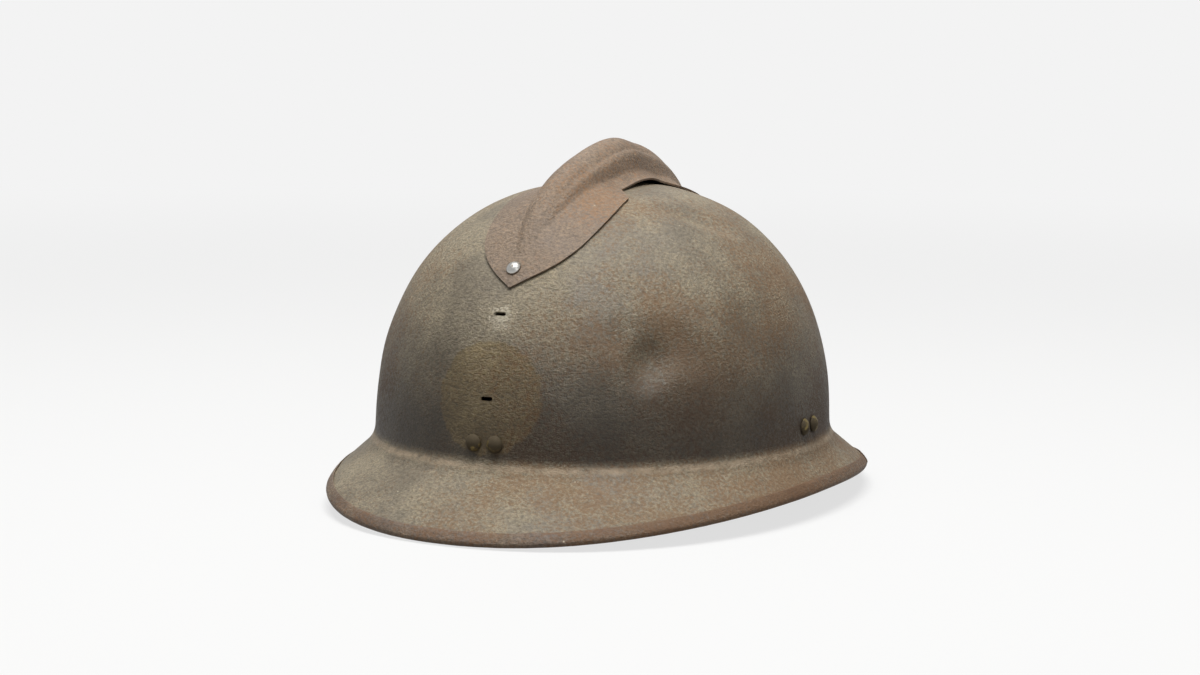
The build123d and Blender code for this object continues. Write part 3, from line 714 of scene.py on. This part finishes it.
# Corrugated pads: thin aluminium strip run through a crimping wheel, to keep the hoop off the shell.
crimped_aluminium = metal("crimped aluminium", "#b9bab8", "#8a8983", 0.38, 0.15)
for end in ("front", "rear"):
    for side in ("left", "right"):
        dress(end + "_" + side + "_pad", end + "_" + side + "_crimped_pad", crimped_aluminium)

# Bails: bent steel wire loops that swing in the lugs and take the chin strap.
wire_steel = metal("bent steel wire", "#8f8a82", "#5f4a36", 0.32, 0.2)
for side in ("left", "right"):
    dress(side + "_bail", side + "_wire_bail", wire_steel, body=side + "_bail")

# Felt: a band of grey-brown wool felt between the hoop and the leather, cut away at the hooks. Its
# fibres mat into soft lumps, so it has no sharp edge and hardly any shine.
liner_rise = 0.092
felt_inset = 0.0091
felt_wall = 0.00153
felt_low = 0.0315
felt_high = 0.051
felt_notch_top = 0.0358
felt_notch_half_width = 0.0118


def liner_climb(height, inset):
    """The climb at which a liner piece reaches a height."""
    share = (height - crease_height) / (liner_rise - inset)
    return math.asin(min(1, share ** (bowl_squareness / 2)))


felt_rows = 14
felt_form = spun_blank(felt_rows + 1, 360)
for corner in felt_form.verts:
    turn = math.atan2(corner.co.x, -corner.co.y)
    from_quarter = abs((turn + math.pi / 4) % (math.pi / 2) - math.pi / 4) * bowl_width
    low = felt_notch_top if from_quarter < felt_notch_half_width else felt_low
    height = low + (felt_high - low) * round(corner.co.z) / felt_rows
    corner.co = bowl_point(turn, liner_climb(height, felt_inset), felt_inset + 0.00015, liner_rise)
bmesh.ops.recalc_face_normals(felt_form, faces=felt_form.faces)
wool_felt = new_material("matted wool felt")
place = add_node(wool_felt, "ShaderNodeTexCoord").outputs["Object"]
lumps = add_node(wool_felt, "ShaderNodeTexNoise", {"Vector": place, "Scale": 1 / 0.006, "Detail": 4})
fibres = add_node(wool_felt, "ShaderNodeTexNoise", {
    "Vector": place, "Scale": 1 / 0.0005, "Detail": 6, "Roughness": 0.8, "Distortion": 1.5})
felt_colour = add_node(wool_felt, "ShaderNodeMix", {
    "Factor": lumps.outputs[0], "A": linear("#4a443a"), "B": linear("#6c6353")}, data_type="RGBA")
nap = add_node(wool_felt, "ShaderNodeMath", {0: fibres.outputs[0], 1: 0.6, 2: lumps.outputs[0]},
               operation="MULTIPLY_ADD")
felt_bump = add_node(wool_felt, "ShaderNodeBump", {
    "Height": nap.outputs[0], "Distance": 0.0008, "Strength": 0.7})
felt_surface = add_node(wool_felt, "ShaderNodeBsdfPrincipled", {
    "Base Color": felt_colour.outputs[2], "Roughness": 0.95, "Sheen Weight": 0.4, "Sheen Roughness": 0.5,
    "Normal": felt_bump.outputs[0]})
add_node(wool_felt, "ShaderNodeOutputMaterial", {"Surface": felt_surface.outputs[0]})
felt = new_object("wool_felt_band", felt_form, wool_felt)
give_wall(felt, felt_wall)
with_modifiers(felt)
smooth(felt)
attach(felt, "helmet")
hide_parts("felt_band")

# Sweatband: a strip of brown hide, skived thin and turned in at its lower edge, with two rows of linen
# stitches. Sweat and hair have darkened and polished it, and it has dried into creases.
leather_inset = 0.0112
leather_wall = 0.00128
leather_low = 0.029
leather_high = 0.062
leather_play = 0.0001
band_slack = 0.0005
band_rows = 30


def leather(name, hide, dark_hide):
    """Aged vegetable-tanned hide: its two browns, its creases and its pore grain."""
    made = new_material(name)
    place = add_node(made, "ShaderNodeTexCoord").outputs["Object"]
    stains = add_node(made, "ShaderNodeTexNoise", {
        "Vector": place, "Scale": 1 / 0.025, "Detail": 5, "Roughness": 0.6})
    stain_share = add_node(made, "ShaderNodeMapRange", {
        "Value": stains.outputs[0], "From Min": 0.35, "From Max": 0.65}, interpolation_type="SMOOTHSTEP")
    colour = add_node(made, "ShaderNodeMix", {
        "Factor": stain_share.outputs[0], "A": linear(dark_hide), "B": linear(hide)}, data_type="RGBA")
    # Pores about 0.6 mm apart, drawn at 0.9 mm so that they show
    pores = add_node(made, "ShaderNodeTexVoronoi", {"Vector": place, "Scale": 1 / 0.0009},
                     feature="SMOOTH_F1")
    creases = add_node(made, "ShaderNodeTexNoise", {
        "Vector": place, "Scale": 1 / 0.005, "Detail": 5, "Roughness": 0.6, "Distortion": 1.2})
    surface = add_node(made, "ShaderNodeMath", {0: pores.outputs[0], 1: 0.35, 2: creases.outputs[0]},
                       operation="MULTIPLY_ADD")
    bumps = add_node(made, "ShaderNodeBump", {
        "Height": surface.outputs[0], "Distance": 0.0006, "Strength": 0.6})
    polish = add_node(made, "ShaderNodeMapRange", {"Value": stains.outputs[0], "To Min": 0.62, "To Max": 0.4})
    skin = add_node(made, "ShaderNodeBsdfPrincipled", {
        "Base Color": colour.outputs[2], "Roughness": polish.outputs[0], "IOR": 1.5,
        "Normal": bumps.outputs[0]})
    add_node(made, "ShaderNodeOutputMaterial", {"Surface": skin.outputs[0]})
    return made


band_hide = leather("worn brown sweatband hide", "#5a3c28", "#352318")
band_form = spun_blank(band_rows + 1, 300)
for corner in band_form.verts:
    turn = math.atan2(corner.co.x, -corner.co.y)
    share = round(corner.co.z) / band_rows
    height = leather_low + (leather_high - leather_low) * share
    uneven = noise.noise(Vector((math.sin(turn), math.cos(turn), share)) * 7)
    inset = leather_inset + leather_play + band_slack * (1 - share) ** 2 * (1 + uneven)
    corner.co = bowl_point(turn, liner_climb(height, leather_inset), inset, liner_rise)
bmesh.ops.recalc_face_normals(band_form, faces=band_form.faces)
sweatband = new_object("sweatband_hide", band_form, band_hide)
give_wall(sweatband, leather_wall)
with_modifiers(sweatband)
smooth(sweatband)
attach(sweatband, "helmet")
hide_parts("sweatband")

# Stitches: waxed linen thread, 4 mm to a stitch, in two rows on the sweatband's inner face.
linen = new_material("waxed linen thread")
twist = add_node(linen, "ShaderNodeTexNoise", {
    "Vector": add_node(linen, "ShaderNodeTexCoord").outputs["Object"], "Scale": 1 / 0.0006, "Detail": 3})
thread_colour = add_node(linen, "ShaderNodeMix", {
    "Factor": twist.outputs[0], "A": linear("#6d604a"), "B": linear("#a3957a")}, data_type="RGBA")
thread = add_node(linen, "ShaderNodeBsdfPrincipled", {
    "Base Color": thread_colour.outputs[2], "Roughness": 0.75})
add_node(linen, "ShaderNodeOutputMaterial", {"Surface": thread.outputs[0]})
stitch_form = bmesh.new()
stitch_count = 140
stitch_half_length = 0.0014
thread_radius = 0.0004
stitch_inset = leather_inset + leather_wall + 0.0003
for stitch_height in (leather_low + 0.0035, leather_high - 0.004):
    for step in range(stitch_count):
        turn = full_turn * step / stitch_count
        climb = liner_climb(stitch_height, leather_inset)
        spot = bowl_point(turn, climb, stitch_inset, liner_rise)
        way = (bowl_point(turn + 0.01, climb, stitch_inset, liner_rise) - spot).normalized()
        axes = Matrix((way, Vector((0, 0, 1)).cross(way), Vector((0, 0, 1)))).transposed().to_4x4()
        stretch = Matrix.Diagonal((stitch_half_length, thread_radius, thread_radius, 1))
        stitch = Matrix.Translation(spot) @ axes @ stretch
        bmesh.ops.create_icosphere(stitch_form, subdivisions=1, radius=1, matrix=stitch)
stitches = new_object("linen_stitches", stitch_form, linen)
smooth(stitches, 60)
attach(stitches, "helmet")

# Crown leather: seven tongues cut from one piece of hide, sewn behind the sweatband. A lace used to draw
# their tips together through the eyelets; without it they keep the curve that it gave them.
crown_inset = 0.0093
crown_low = 0.052
crown_opening = 0.021
tongue_round = 0.004
tongue_waver = 0.0005
tongue_count = 7
slit_reach = 0.066
slit_half_width = 0.0055
eyelet_reach = 0.027
eyelet_radius = 0.002
crown_hide = leather("dry brown crown hide", "#6a4a32", "#432d1e")
low_climb = liner_climb(crown_low, crown_inset)
tongue_rows = 44
tongue_columns = 30
crown_form = bmesh.new()
for tongue in range(tongue_count):
    middle_turn = math.pi / 2 + full_turn * tongue / tongue_count
    made = bmesh.ops.create_grid(
        crown_form, x_segments=tongue_columns, y_segments=tongue_rows, size=1)["verts"]
    for corner in made:
        along = (corner.co.y + 1) / 2
        across = corner.co.x
        opening_share = (crown_opening + tongue_round * abs(across) ** 5) / (bowl_length - crown_inset)
        tip_climb = math.acos(opening_share ** (bowl_squareness / 2))
        climb = low_climb + (tip_climb - low_climb) * along
        reach = (bowl_length - crown_inset) * math.cos(climb) ** (2 / bowl_squareness)
        half_gap = slit_half_width * max(0, 1 - reach / slit_reach)
        half_turn = math.pi / tongue_count - math.asin(min(1, half_gap / reach))
        turn = middle_turn + across * half_turn
        corner.co = bowl_point(turn, climb, crown_inset + leather_play, liner_rise)
        corner.co.z += tongue_waver * noise.noise(corner.co * 55) * along
bmesh.ops.remove_doubles(crown_form, verts=crown_form.verts, dist=0.00003)
bmesh.ops.recalc_face_normals(crown_form, faces=crown_form.faces)
crown = new_object("crown_hide_tongues", crown_form, crown_hide)
give_wall(crown, leather_wall)
punch_form = bmesh.new()
for tongue in range(tongue_count):
    spot = Matrix.Rotation(full_turn * tongue / tongue_count, 4, "Z") @ Vector((eyelet_reach, 0, 0.1))
    bmesh.ops.create_cone(punch_form, cap_ends=True, segments=24, radius1=eyelet_radius,
                          radius2=eyelet_radius, depth=0.05, matrix=Matrix.Translation(spot))
cut_out(crown, punch_form, crown_hide)
smooth(crown, 50)
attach(crown, "helmet")
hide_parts("crown_leather")
